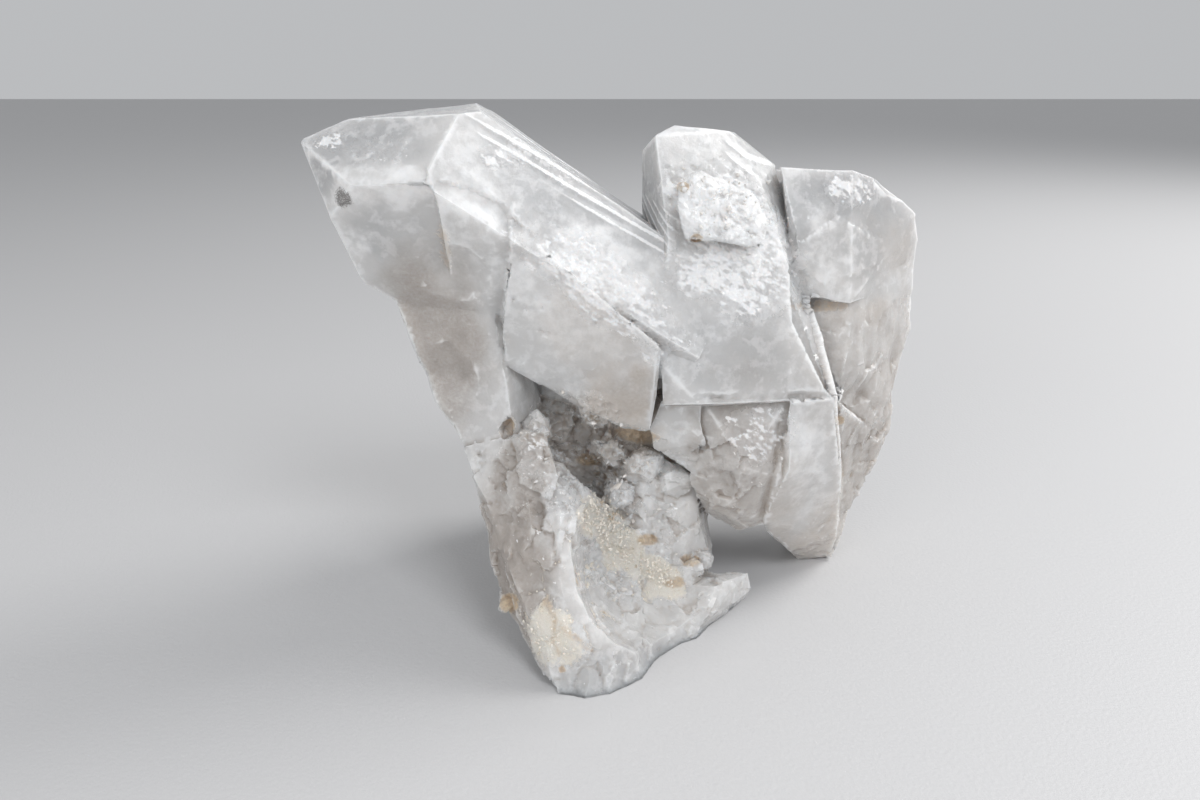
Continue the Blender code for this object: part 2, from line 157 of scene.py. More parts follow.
class Skin:
    # the corners of a mesh in millimetres with what the masks need of them
    def __init__(self, points, normals):
        self.points = points
        self.normals = normals
        self.u, self.v = toView(points)
        toEye = eye - points
        toEye = toEye / np.linalg.norm(toEye, axis=1, keepdims=True)
        self.front = smooth(-0.02, 0.14, (normals * toEye).sum(axis=1)) * smooth(24, 14, points[:, 1])
        self.wobble = cloud(points, 5.0, 3, 2)

    def spot(self, u, v, wide, tall, turn=0.0, soft=0.35, ragged=0.25):
        # a soft ellipse in the view with a ragged rim, on what faces the eye
        du, dv = self.u - u, self.v - v
        c, s = math.cos(math.radians(turn)), math.sin(math.radians(turn))
        reach = np.sqrt(((du * c + dv * s) / wide) ** 2 + ((dv * c - du * s) / tall) ** 2)
        return smooth(1 + soft, 1 - soft, reach + ragged * self.wobble) * self.front

    def line(self, places, wide):
        # closeness to a polyline in the view, its signed distance (left of travel is negative) and the share along it
        best = np.full(len(self.u), 1e6)
        side = np.zeros(len(self.u))
        along = np.zeros(len(self.u))
        steps = len(places) - 1
        for index, (start, end) in enumerate(zip(places, places[1:])):
            run = np.array(end, float) - np.array(start, float)
            length = np.hypot(*run)
            du, dv = self.u - start[0], self.v - start[1]
            share = np.clip((du * run[0] + dv * run[1]) / length ** 2, 0, 1)
            off = np.hypot(du - share * run[0], dv - share * run[1])
            turned = np.sign(run[0] * dv - run[1] * du) * off
            nearer = off < best
            best = np.where(nearer, off, best)
            side = np.where(nearer, turned, side)
            along = np.where(nearer, (index + share) / steps, along)
        return smooth(wide, wide * 0.25, best) * self.front, side, along

    def patches(self, rows):
        # a sum of soft ellipses: each row is a strength and then what spot takes
        return sum(row[0] * self.spot(*row[1:]) for row in rows)


# the stone's own zero, which the zones are measured from: on the table, 160 mm in front of the lens
offset = np.array([eye[0], eye[1] + 160.0, 0.0])

quartz = {
    "octreeDepth": 8, "gridScale": 0.97, "mostTriangles": 188000, "edgeAngle": 30,
    # heights in millimetres
    "terrace": 0.035, "coarse": 0.60, "middle": 0.20, "fine": 0.05, "druse": 0.50,
    "swell": 0.14, "plates": 0.13, "ribs": 0.26, "ridge": 1.1, "field": 0.8, "ripple": 0.16,
    "streak": 0.22, "thread": 0.07, "bend": 1.7, "blockStep": 0.7, "shelfStep": 0.5,
    "edgeStep": 0.15, "chipLeast": 0.35, "chipMore": 0.9, "pit": 0.35, "wallCrack": 0.7, "footCrack": 0.5,
    "settle": 0.10,
    # distances in the view
    "rippleSpacing": 3.4, "edgeStepSpacing": 4.6, "pitDarkSize": 2.4,
}

# courses over the stone in the view, each a row of corners
courses = {
    "ridge": [(423, 160), (429, 180), (440, 225), (447, 262), (452, 285)],
    "field": [(428, 178), (470, 186), (505, 204), (514, 214)],
    "bend": [(777, 168), (790, 262), (793, 322), (826, 390), (842, 404)],
    "block": [(786, 428), (779, 470), (764, 522)],
    "shelf": [(512, 214), (508, 266), (503, 293), (501, 333), (505, 362)],
    "upperEdge": [(470, 101), (540, 150), (665, 236)],
    "lowerEdge": [(700, 402), (760, 401), (800, 399), (838, 399)],
    "wallCrack": [(843, 388), (838, 410), (841, 440), (843, 462)],
    "wallCrackStain": [(843, 390), (838, 410), (841, 440), (843, 460)],
    "footCrack": [(598, 665), (603, 678), (605, 692)],
    "stain": [(545, 600), (556, 622), (570, 634), (590, 650)],
    "stainBranch": [(556, 622), (552, 640), (560, 655)],
    "vein": [(323, 160), (351, 179), (373, 182)],
}
# small pits: centre u, centre v and size in the view; all but the last are dark inside
pits = [(547, 300, 2.6), (542, 308, 2.2), (541, 334, 2.6), (526, 310, 2.0), (547, 335, 2.4),
        (513, 300, 2.4), (478, 454, 2.6), (555, 445, 2.4), (862, 447, 3.0)]

# marks on the stone: strength, centre u, centre v, half width and half height in the view,
# then turn in degrees, softness and raggedness where they aren't 0, 0.35 and 0.25
marks = {
    "hollow": [(1, 578, 450, 66, 60, 20), (1, 630, 545, 40, 58, 30)],
    "band": [(1, 722, 208, 50, 25, 22, 0.25), (0.5, 716, 196, 66, 46, 22, 0.5)],
    "innerLump": [(1, 620, 482, 30, 26)],
    "lumps": [(0.22, 616, 358, 9, 7, 0, 0.5, 0), (-0.8, 697, 238, 5, 4, 0, 0.5, 0),
              (0.5, 538, 430, 10, 14, 0, 0.3, 0.1), (-0.5, 841, 420, 4, 5, 0, 0.5, 0)],
    "warm": [(0.4, 440, 290, 50, 70, -14, 0.6), (0.6, 628, 402, 36, 34, 0, 0.6), (0.5, 590, 330, 70, 40, 35),
             (0.6, 600, 440, 60, 50), (0.45, 760, 545, 50, 26), (0.4, 740, 470, 60, 70), (0.35, 850, 260, 60, 60)],
    "brown": [(0.7, 636, 434, 26, 8, 10), (0.6, 590, 460, 12, 6), (0.5, 820, 306, 28, 6, 0), (0.9, 683, 187, 6, 5),
              (0.9, 697, 238, 7, 4), (0.45, 510, 424, 8, 12), (0.8, 648, 540, 12, 7), (0.6, 675, 582, 12, 6),
              (0.6, 690, 560, 10, 6), (0.9, 508, 603, 10, 10), (0.9, 562, 669, 4, 4), (0.6, 840, 420, 6, 6),
              (0.4, 444, 248, 7, 26, -10), (0.25, 572, 434, 58, 34, 15, 0.6)],
    # shade rows: painted shade on the trunk, the foot, the hollow, the knob and other faces that the light reaches
    # less
    "shade": [(0.85, 436, 345, 56, 90, -18, 0.6), (1, 508, 575, 48, 100, -14, 0.6), (0.25, 565, 440, 70, 46, 20, 0.5),
              (0.5, 530, 465, 28, 42, 0, 0.5), (0.35, 770, 360, 60, 50, 0, 0.6), (0.45, 740, 470, 56, 76, 0, 0.5),
              (0.5, 640, 395, 40, 30), (0.35, 860, 400, 50, 130, 0, 0.5)],
    "clay": [(0.9, 594, 518, 17, 26, -20, 0.6, 0.5), (0.9, 628, 548, 22, 42, -38, 0.6, 0.5),
             (0.8, 664, 578, 24, 13, 30, 0.6, 0.5), (0.5, 560, 650, 26, 18), (0.6, 550, 625, 24, 22)],
    "clayNooks": [(0.7, 560, 600, 60, 60)],
    "dark": [(1, 343, 198, 10, 15, 0, 0.4, 0.5), (0.6, 604, 513, 10, 7), (0.2, 560, 425, 44, 26, 15),
             (0.7, 615, 656, 4, 4), (0.4, 502, 565, 14, 30)],
    # clear rows: greyer, glassier stone; the rows on the large crystal's right face, the middle crystal and the right
    # crystal also darken faces that the key lamp lights, as painted shade
    "clear": [(0.7, 400, 118, 86, 14, -12, 0.4), (0.75, 318, 160, 20, 40), (0.55, 370, 150, 70, 22, -8),
              (0.5, 390, 230, 40, 34), (0.6, 655, 170, 18, 34), (0.45, 730, 470, 44, 60), (0.5, 565, 470, 60, 50),
              (0.9, 620, 668, 70, 26, -14, 0.5), (0.9, 850, 215, 70, 60, 10, 0.5), (0.8, 570, 190, 90, 56, 35, 0.6),
              (0.6, 735, 345, 70, 60, 0, 0.6)],
    # milk rows: whiter stone; the row on the shelf at (565, 318) is painted light that brightens the shelf
    "milk": [(0.9, 408, 188, 20, 22, 0, 0.3), (0.6, 600, 260, 50, 30, 35), (0.7, 533, 475, 22, 28),
             (0.8, 808, 470, 26, 64, -4, 0.5), (0.5, 355, 215, 44, 44, 0, 0.6), (0.8, 565, 318, 70, 34, 35, 0.5),
             (0.5, 470, 240, 40, 60, 0, 0.5), (0.6, 825, 245, 44, 44), (0.5, 560, 662, 22, 18)],
    "frostAndGlint": [(1, 331, 141, 17, 9, -10), (0.9, 518, 156, 16, 14, 40), (0.7, 493, 157, 12, 12),
              (0.9, 600, 285, 100, 30, 36, 0.4), (1, 735, 262, 62, 52, 30, 0.4), (0.9, 720, 208, 56, 30, 22),
              (0.9, 850, 190, 22, 16), (0.6, 764, 432, 34, 32, 35), (0.9, 668, 466, 20, 14), (0.8, 651, 356, 13, 7),
              (0.35, 380, 150, 34, 20), (0.6, 705, 560, 22, 9), (0.5, 560, 150, 44, 30, 36)],
    "lines": [(1, 752, 152, 26, 22, 30)],
}

cadNode = next(item for item in bpy.data.objects if item.type == "MESH" and item.name.startswith("quartz_cluster"))


def meshArrays(mesh):
    points = np.empty(len(mesh.vertices) * 3)
    mesh.vertices.foreach_get("co", points)
    normals = np.empty(len(mesh.vertices) * 3)
    mesh.vertex_normals.foreach_get("vector", normals)
    return points.reshape(-1, 3) * 1000, normals.reshape(-1, 3)


def appliedMesh(item, name):
    # the mesh that an object's modifiers make
    bpy.context.view_layer.update()
    made = bpy.data.meshes.new_from_object(item.evaluated_get(bpy.context.evaluated_depsgraph_get()))
    made.name = name
    return made


def zones(skin):
    # where the stone is rough or druse-covered, and where its right wall is, from 0 to 1
    x, y, z = (skin.points - offset).T
    ragged = cloud(skin.points, 9.0, 21, 2) * 3.0
    foot = smooth(2, -3, y + ragged) * smooth(40, 35, z + ragged) * smooth(33, 27, x)
    trunk = smooth(-9, -14, x) * smooth(67, 61, z + ragged) * smooth(34, 40, z) * smooth(10, 4, y)
    wall = smooth(38, 43, x + ragged * 0.4) * smooth(60, 56, z) * smooth(-3, 3, y)
    rear = smooth(8, 14, y + ragged * 0.5) * smooth(36, 26, z + ragged)
    hollow = skin.patches(marks["hollow"])
    band = np.clip(skin.patches(marks["band"]), 0, 1)
    rough = np.clip(foot * 0.85 + trunk * 0.10 + wall * 0.42 + rear * 0.8 + hollow * 0.9, 0, 1)
    druse = np.clip(hollow * 0.7 + band * 1.1 + skin.patches(marks["innerLump"]), 0, 1)
    return rough, druse, wall


# a turn and stretch that draws the noise out along the large crystal
mainAxis = np.array([-0.80, -0.19, 0.56]) / np.linalg.norm([-0.80, -0.19, 0.56])
alongMain = np.eye(3) - 0.88 * np.outer(mainAxis, mainAxis)


def dress(points, normals):
    # all the relief that the plain solid leaves out, as a height along the normal in millimetres
    skin = Skin(points, normals)
    rough, druse, wall = zones(skin)
    smoothPart = 1 - np.clip(rough + druse, 0, 1)
    # growth ledges: a slow noise cut into levels with short risers
    slow = cloud(points @ alongMain, 13.0, 5, 2) * 2.6
    stairs = np.floor(slow) + smooth(0.86, 1.0, slow - np.floor(slow))
    height = quartz["terrace"] * stairs * (0.35 + 0.65 * smoothPart) * 0.8
    height += quartz["swell"] * cloud(points, 9.0, 6, 2) + quartz["plates"] * smoothPart * facets(points, 17.0, 30)
    # broken facets of three sizes, and the druse's own two
    height += quartz["coarse"] * rough * facets(points, 4.6, 40)
    height += quartz["middle"] * (rough + 0.10 * smoothPart) * facets(points, 2.1, 60)
    height += quartz["fine"] * (rough + 0.15 * smoothPart) * facets(points, 1.1, 80)
    height += quartz["druse"] * druse * (facets(points, 1.9, 100) + 0.4 * facets(points, 1.2, 120))
    # upright ribs on the right wall
    ribs = cloud(points * np.array([1.0, 1.0, 0.16]), 1.9, 9, 2)
    height += quartz["ribs"] * wall * ribs
    # the bent ridge on the large crystal: the stone left of it lies lower and climbs back slowly
    near, side, along = skin.line(courses["ridge"], 60)
    taper = smooth(0.0, 0.2, along) * smooth(1.0, 0.75, along)
    height -= quartz["ridge"] * near * taper * smooth(-1.5, 1.5, side) * smooth(62, 6, np.abs(side))
    # a lower field right of the whiter patch, with a bright flake's edge
    near, side, along = skin.line(courses["field"], 34)
    height -= quartz["field"] * near * smooth(-1.2, 1.2, side) * smooth(34, 4, np.abs(side)) * smooth(0, 0.2, along)
    # shell-shaped ripples
    ring = np.hypot(skin.u - 440, skin.v - 240)
    height += quartz["ripple"] * np.sin(ring / quartz["rippleSpacing"]) * skin.spot(480, 200, 34, 20, 20)
    # streaks that run along the large crystal, broad on the shelf and fine above it
    streak = cloud(points @ alongMain, 1.6, 14, 2)
    height += quartz["streak"] * streak * skin.spot(600, 280, 110, 34, 37, 0.4)
    thread = cloud(points @ alongMain, 0.8, 15, 1)
    height += quartz["thread"] * thread * skin.spot(540, 170, 110, 44, 35, 0.4)
    # the middle crystal's right edge bends inwards below its shoulder
    near, side, along = skin.line(courses["bend"], 40)
    height -= quartz["bend"] * near * smooth(0.5, -2.5, side) * smooth(0.12, 0.3, along)
    # the block's boundary with the slab, and the step at the shelf's left end
    near, side = skin.line(courses["block"], 16)[:2]
    height -= quartz["blockStep"] * near * smooth(-1.5, 1.5, side) * smooth(16, 2, np.abs(side))
    near, side = skin.line(courses["shelf"], 20)[:2]
    height -= quartz["shelfStep"] * near * smooth(-1.0, 1.0, side) * smooth(20, 3, np.abs(side))
    # thin parallel steps along the upper edge of the large crystal
    near, side = skin.line(courses["upperEdge"], 15)[:2]
    level = side / quartz["edgeStepSpacing"]
    height -= quartz["edgeStep"] * near * (level - np.floor(level)) * smooth(-2, 2, side)
    # the middle crystal's lower edge is chipped and rounded, not straight
    chips = smooth(-0.3, 0.5, cloud(points, 3.4, 17, 2))
    near, side = skin.line(courses["lowerEdge"], 9)[:2]
    height -= near * (quartz["chipLeast"] + quartz["chipMore"] * chips) * smooth(2.5, -1.0, side)
    # lumps, dents, pits and cracks
    height += skin.patches(marks["lumps"])
    for u, v, size in pits:
        height -= quartz["pit"] * skin.spot(u, v, size, size, 0, 0.5, 0)
    height -= quartz["wallCrack"] * skin.line(courses["wallCrack"], 4)[0]
    height -= quartz["footCrack"] * skin.line(courses["footCrack"], 3)[0]
    # keep the feet flat on the table
    height *= smooth(0.05, 1.2, points[:, 2])
    return height - quartz["settle"]


def makeQuartz():
    source = cadNode.data.copy()
    bm = bmesh.new()
    bm.from_mesh(source)
    bmesh.ops.remove_doubles(bm, verts=bm.verts, dist=1e-7)
    bm.to_mesh(source)
    bm.free()
    item = bpy.data.objects.new("quartz", source)
    bpy.context.scene.collection.objects.link(item)
    grid = item.modifiers.new("grid", "REMESH")
    grid.mode = "SHARP"
    grid.octree_depth = quartz["octreeDepth"]
    grid.scale = quartz["gridScale"]
    grid.sharpness = 1.0
    grid.use_remove_disconnected = True
    fine = appliedMesh(item, "quartz")
    item.modifiers.clear()
    item.data = fine
    print("quartz grid", len(fine.vertices), "corners")
    points, normals = meshArrays(fine)
    moved = points + normals * dress(points, normals)[:, None]
    moved[:, 2] = np.maximum(moved[:, 2], 0.0)
    fine.vertices.foreach_set("co", (moved / 1000).ravel())
    fine.update()
    thin = item.modifiers.new("thin", "DECIMATE")
    thin.ratio = min(1.0, quartz["mostTriangles"] / (2.0 * len(fine.polygons)))   # a four-sided face is two triangles
    item.data = appliedMesh(item, "quartz")
    item.modifiers.clear()
    item.data.polygons.foreach_set("use_smooth", np.ones(len(item.data.polygons), bool))
    item.data.set_sharp_from_angle(angle=math.radians(quartz["edgeAngle"]))
    return item


def hollowness(mesh, rounds):
    # how far the smoothed surface stands off the real one: positive in nooks, negative on edges
    points, normals = meshArrays(mesh)
    edges = np.empty(len(mesh.edges) * 2, np.int64)
    mesh.edges.foreach_get("vertices", edges)
    first, second = edges.reshape(-1, 2).T
    count = np.bincount(edges, minlength=len(points)).astype(float)
    soft = points.copy()
    for _ in range(rounds):
        for k in range(3):
            total = np.bincount(first, soft[second, k], len(points))
            total = total + np.bincount(second, soft[first, k], len(points))
            soft[:, k] = 0.5 * soft[:, k] + 0.5 * total / count
    return ((soft - points) * normals).sum(axis=1)


def setField(mesh, name, values):
    field = mesh.attributes.new(name, "FLOAT", "POINT")
    field.data.foreach_set("value", np.ascontiguousarray(values, np.float32))


def paint(mesh):
    # the fields that the stone's finish reads, each from 0 to 1
    points, normals = meshArrays(mesh)
    skin = Skin(points, normals)
    rough, druse, wall = zones(skin)
    y, z = (points - offset).T[1:]
    nook = smooth(0.03, 0.22, hollowness(mesh, 6)) * 0.6 + smooth(0.1, 0.9, hollowness(mesh, 50)) * 0.8
    nook = np.clip(nook, 0, 1)
    # painted highlight: whiter on the sharp outer edges, less on rough or druse-covered stone
    rim = smooth(0.035, 0.13, -hollowness(mesh, 3)) * (1 - 0.65 * np.clip(rough + druse, 0, 1))
    base = smooth(50, 20, z + 8 * cloud(points, 14, 31, 2))
    values = {name: skin.patches(marks[name]) for name in
              ("warm", "brown", "shade", "clay", "dark", "clear", "milk", "frostAndGlint", "lines")}
    # warm, pinkish-beige stone; the share that follows the nooks low on the stone is painted shade
    values["warm"] += 0.30 * base + 0.45 * nook * base + 0.5 * wall
    values["warm"] += 0.5 * smooth(0.25, 0.7, cloud(points, 22, 51, 3)) * smooth(5, 15, y)
    # tan and brown stains
    branch = np.maximum(skin.line(courses["stain"], 7)[0], skin.line(courses["stainBranch"], 5)[0])
    values["brown"] += 0.4 * branch + 0.55 * nook * base * smooth(0.1, 0.6, cloud(points, 8, 71, 2))
    # painted shade at the back and in the nooks
    values["shade"] += 0.4 * smooth(4, 14, y) * smooth(0.0, 0.6, cloud(points, 20, 61, 2))
    values["shade"] += 0.4 * nook * smooth(60, 30, z)
    # dry cream clay
    values["clay"] += nook * skin.patches(marks["clayNooks"])
    values["clay"] += 0.7 * smooth(0.35, 0.6, cloud(points, 10, 91, 3)) * smooth(10, 16, y) * smooth(40, 25, z)
    # dark marks
    values["dark"] += 0.4 * skin.line(courses["wallCrackStain"], 3)[0]
    # darker inside all but the last pit
    for u, v, _ in pits[:-1]:
        values["dark"] += 0.7 * skin.spot(u, v, quartz["pitDarkSize"], quartz["pitDarkSize"], 0, 0.5, 0)
    # glassier, greyer stone and milkier stone, the milk with a painted highlight on the sharp edges
    values["clear"] += 0.35 * smooth(0.0, 0.7, cloud(points, 16, 111, 3))
    values["milk"] += 0.5 * smooth(0.05, 0.5, cloud(points, 12, 131, 3)) + 0.5 * rim
    values["milk"] += 0.8 * skin.line(courses["vein"], 3)[0]
    # frosted patches that glitter; the finish paints their glints as white flecks
    values["frostAndGlint"] += 0.18 * rough + 0.5 * druse
    values["frostAndGlint"] += 0.5 * smooth(0.3, 0.7, cloud(points, 11, 151, 2)) * smooth(4, 12, y)
    # thin lines close to the large crystal's upper edge
    away = np.abs(skin.line(courses["upperEdge"], 34)[1])
    values["lines"] += smooth(28, 20, away) * skin.spot(570, 175, 130, 60, 33)
    values["rim"] = rim
    for name, amounts in values.items():
        setField(mesh, name, np.clip(amounts, 0, 1))
    return skin, druse


class Wire:
    # one output socket; an expression on wires adds its Math nodes
    def __init__(self, tree, socket):
        self.tree = tree
        self.socket = socket

    def join(self, operation, first, second):
        made = addNode(self.tree, "ShaderNodeMath", {"operation": operation}, {0: first, 1: second})
        return Wire(self.tree, made.outputs[0])

    def __add__(self, other):
        return self.join("ADD", self, other)

    def __sub__(self, other):
        return self.join("SUBTRACT", self, other)

    def __mul__(self, other):
        return self.join("MULTIPLY", self, other)

    def __radd__(self, other):
        return self.join("ADD", other, self)

    def __rsub__(self, other):
        return self.join("SUBTRACT", other, self)

    def __rmul__(self, other):
        return self.join("MULTIPLY", other, self)

    def __pow__(self, other):
        return self.join("POWER", self, other)

    def above(self, low, high):
        made = addNode(self.tree, "ShaderNodeMapRange", {"interpolation_type": "SMOOTHSTEP"},
                       {"Value": self, "From Min": low, "From Max": high})
        return Wire(self.tree, made.outputs[0])


def addNode(tree, kind, settings, inputs):
    node = tree.nodes.new(kind)
    for name, value in settings.items():
        setattr(node, name, value)
    for name, value in inputs.items():
        if isinstance(value, Wire):
            tree.links.new(value.socket, node.inputs[name])
        else:
            node.inputs[name].default_value = value
    return node


def field(tree, name):
    return Wire(tree, addNode(tree, "ShaderNodeAttribute", {"attribute_name": name}, {}).outputs["Fac"])


def noise(tree, place, scale, detail=3.0, roughness=0.5):
    made = addNode(tree, "ShaderNodeTexNoise", {},
                   {"Vector": place, "Scale": scale, "Detail": detail, "Roughness": roughness})
    return Wire(tree, made.outputs["Fac"])


def cellColours(tree, place, scale, distance="EUCLIDEAN"):
    # one random colour for each cell
    made = addNode(tree, "ShaderNodeTexVoronoi", {"distance": distance}, {"Vector": place, "Scale": scale})
    return Wire(tree, made.outputs["Color"])


def blend(tree, factor, first, second):
    made = addNode(tree, "ShaderNodeMix", {"data_type": "RGBA"}, {0: factor, 6: first, 7: second})
    return Wire(tree, made.outputs[2])


def vector(tree, operation, first, second):
    key = "Scale" if operation == "SCALE" else 1
    made = addNode(tree, "ShaderNodeVectorMath", {"operation": operation}, {0: first, key: second})
    return Wire(tree, made.outputs[0])


def dot(tree, first, second):
    made = addNode(tree, "ShaderNodeVectorMath", {"operation": "DOT_PRODUCT"}, {0: first, 1: second})
    return Wire(tree, made.outputs["Value"])


def millimetres(tree):
    place = Wire(tree, addNode(tree, "ShaderNodeTexCoord", {}, {}).outputs["Object"])
    return vector(tree, "SCALE", place, 1000.0)


def newMaterial(name):
    material = bpy.data.materials.new(name)
    material.use_nodes = True
    shader = material.node_tree.nodes["Principled BSDF"]
    return material, material.node_tree, shader


stone = {
    "milk": (0.645, 0.641, 0.637, 1), "white": (0.90, 0.90, 0.90, 1), "clear": (0.485, 0.487, 0.492, 1),
    "warm": (0.62, 0.565, 0.515, 1), "shade": (0.345, 0.30, 0.262, 1), "dark": (0.14, 0.13, 0.125, 1),
    "frostAndHighlightWhite": (0.98, 0.98, 0.985, 1), "brown": (0.42, 0.30, 0.19, 1), "paleBrown": (0.66, 0.50, 0.32, 1),
    "clay": (0.84, 0.79, 0.71, 1), "paleClay": (0.92, 0.885, 0.82, 1),
    "glow": 0.95, "glowReach": 0.0062, "glowTint": (1.0, 0.93, 0.88), "seeThrough": 0.18, "bend": 1.544,
    "lineAcross": (0.555, -0.25, 0.79), "linesPerMillimetre": 5.2, "stretch": -0.55,
}


def quartzMaterial():
    material, tree, shader = newMaterial("milkyQuartz")
    place = millimetres(tree)
    fields = {name: field(tree, name) for name in
              ("warm", "brown", "clay", "dark", "clear", "milk", "frostAndGlint", "lines", "rim", "shade")}
    slow = noise(tree, place, 0.09, 4.0, 0.6)
    middle = noise(tree, place, 0.45, 4.0, 0.6)
    fine = noise(tree, place, 1.9, 4.0, 0.65)
    grain = noise(tree, place, 5.5, 3.0, 0.7)
    # veils: thin bright sheets where a slow noise passes its middle
    veil = 1.0 - ((noise(tree, place, 0.16, 5.0, 0.6) - 0.5) * 14.0) ** 2.0
    veil = veil.above(0.0, 1.0) * middle.above(0.4, 0.6)
    glassy = (fields["clear"] * (slow * 0.8 + middle * 0.6)).above(0.05, 0.75)
    colour = blend(tree, glassy, stone["milk"], stone["clear"])
    colour = blend(tree, (fields["milk"] * (middle * 1.3)).above(0.15, 0.8) * 0.8, colour, stone["white"])
    colour = blend(tree, veil * 0.35, colour, stone["white"])
    # warm, pinkish-beige tone, which is painted shade where it follows the nooks
    colour = blend(tree, (fields["warm"] * (0.35 + fine * 0.9)).above(0.05, 0.95) * 0.85, colour, stone["warm"])
    # painted shade: darker brownish stone where the shade field is set
    paintedShade = (fields["shade"] * (0.5 + fine * 0.6 + slow * 0.4)).above(0.1, 1.1)
    colour = blend(tree, paintedShade * 0.8, colour, stone["shade"])
    # painted highlight: white on the sharp edges
    colour = blend(tree, (fields["rim"] * (0.4 + fine)).above(0.2, 0.8) * 0.55, colour, stone["white"])
    # frosted flecks and painted glints: small ragged cells that turn white
    axis = tuple(mainAxis)
    drawn = vector(tree, "ADD", place, vector(tree, "SCALE", axis, dot(tree, place, axis) * stone["stretch"]))
    tile = cellColours(tree, drawn, 1.9, "CHEBYCHEV")
    patch = noise(tree, drawn, 0.75, 3.0, 0.6)
    frostAndGlintFleck = (tile * 0.4 + patch * 1.1 + fields["frostAndGlint"] * 0.50 - 1.14).above(0.0, 0.05)
    colour = blend(tree, frostAndGlintFleck * 0.8, colour, stone["frostAndHighlightWhite"])
    claySpread = (fields["clay"] * 1.5 + fine * 0.9 - 0.85).above(0.0, 0.5)
    clayColour = blend(tree, grain.above(0.35, 0.65), stone["clay"], stone["paleClay"])
    colour = blend(tree, claySpread, colour, clayColour)
    brownSpread = (fields["brown"] * 1.3 + middle * 0.6 + fine * 0.5 - 0.75).above(0.0, 0.75)
    brownColour = blend(tree, fine.above(0.35, 0.65), stone["brown"], stone["paleBrown"])
    colour = blend(tree, brownSpread * 0.75, colour, brownColour)
    darkSpread = (fields["dark"] * 1.1 + grain * 1.7 - 1.5).above(0.0, 0.5)
    colour = blend(tree, darkSpread * 0.85, colour, stone["dark"])
    # thin lines along the large crystal's upper edge: greyer stone with white crests, the crests a painted highlight
    # on the lines' steps
    phase = dot(tree, place, stone["lineAcross"]) * stone["linesPerMillimetre"] + fine * 2.0
    wave = addNode(tree, "ShaderNodeMath", {"operation": "SINE"}, {0: phase})
    ridges = Wire(tree, wave.outputs[0]) * fields["lines"]
    colour = blend(tree, fields["lines"] * 0.45, colour, stone["clear"])
    colour = blend(tree, ridges.above(0.35, 0.8) * 0.8, colour, stone["frostAndHighlightWhite"])
    tree.links.new(colour.socket, shader.inputs["Base Color"])
    rough = 0.22 + fields["frostAndGlint"] * 0.14 + claySpread * 0.45 + brownSpread * 0.3 + (middle - 0.5) * 0.18
    tree.links.new((rough - frostAndGlintFleck * 0.12).socket, shader.inputs["Roughness"])
    # each small cell leans its own way, so a frosted patch glitters
    facing = Wire(tree, addNode(tree, "ShaderNodeNewGeometry", {}, {}).outputs["Normal"])
    lean = vector(tree, "SUBTRACT", cellColours(tree, place, 1.5), (0.5, 0.5, 0.5))
    lean = vector(tree, "SCALE", lean, fields["frostAndGlint"] * 0.55 + 0.05)
    tilted = vector(tree, "ADD", facing, lean)
    tilted = addNode(tree, "ShaderNodeVectorMath", {"operation": "NORMALIZE"}, {0: tilted})
    relief = fine * 0.5 + grain * (0.25 + fields["frostAndGlint"] * 0.3 + claySpread * 1.2)
    relief = relief + ridges * 0.35 + middle * 0.4
    bump = addNode(tree, "ShaderNodeBump", {}, {
        "Strength": 0.55, "Distance": 0.00035, "Height": relief, "Normal": Wire(tree, tilted.outputs[0])})
    tree.links.new(bump.outputs[0], shader.inputs["Normal"])
    shader.inputs["IOR"].default_value = stone["bend"]
    shader.inputs["Subsurface Weight"].default_value = stone["glow"]
    shader.inputs["Subsurface Radius"].default_value = stone["glowTint"]
    shader.inputs["Subsurface Scale"].default_value = stone["glowReach"]
    shader.inputs["Transmission Weight"].default_value = stone["seeThrough"]
    return material


print("shaping the quartz")
stoneItem = makeQuartz()
skin, druse = paint(stoneItem.data)
stoneItem.data.materials.clear()
stoneItem.data.materials.append(quartzMaterial())
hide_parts("quartz_cluster")
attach(stoneItem, "root")
print("quartz done", sum(len(face.vertices) - 2 for face in stoneItem.data.polygons), "triangles")

# small crystals and clay grains, each kind joined in one mesh
druseCrystals = {
    "count": 360, "small": 0.5, "large": 1.8, "thin": 0.20, "thick": 0.36, "sink": 0.4, "scatter": 0.9, "seed": 5,
    "pale": (0.74, 0.73, 0.72, 1), "warm": (0.66, 0.61, 0.56, 1), "glow": 0.5, "glowReach": 0.002,
    "profile": [(-0.7, 0.0), (-0.6, 0.9), (0.35, 1.0), (0.9, 0.0)], "sides": 6,
}
clayGrains = {
    "count": 4200, "small": 0.08, "large": 0.34, "thin": 0.8, "thick": 1.3, "scatter": 0.09, "seed": 9,
    "deep": (0.74, 0.69, 0.61, 1), "pale": (0.86, 0.82, 0.755, 1), "stained": (0.46, 0.38, 0.29, 1),
    "profile": [(-0.8, 0.0), (-0.4, 0.8), (0.3, 0.9), (0.8, 0.0)], "sides": 5,
}


def pickPlaces(weights, count, seed):
    # corners drawn with chances that follow the weights; faint weights count as none
    chance = np.random.default_rng(seed)
    weights = np.where(weights > 0.02, weights, 0)
    return chance.choice(len(weights), size=count, p=weights / weights.sum()), chance


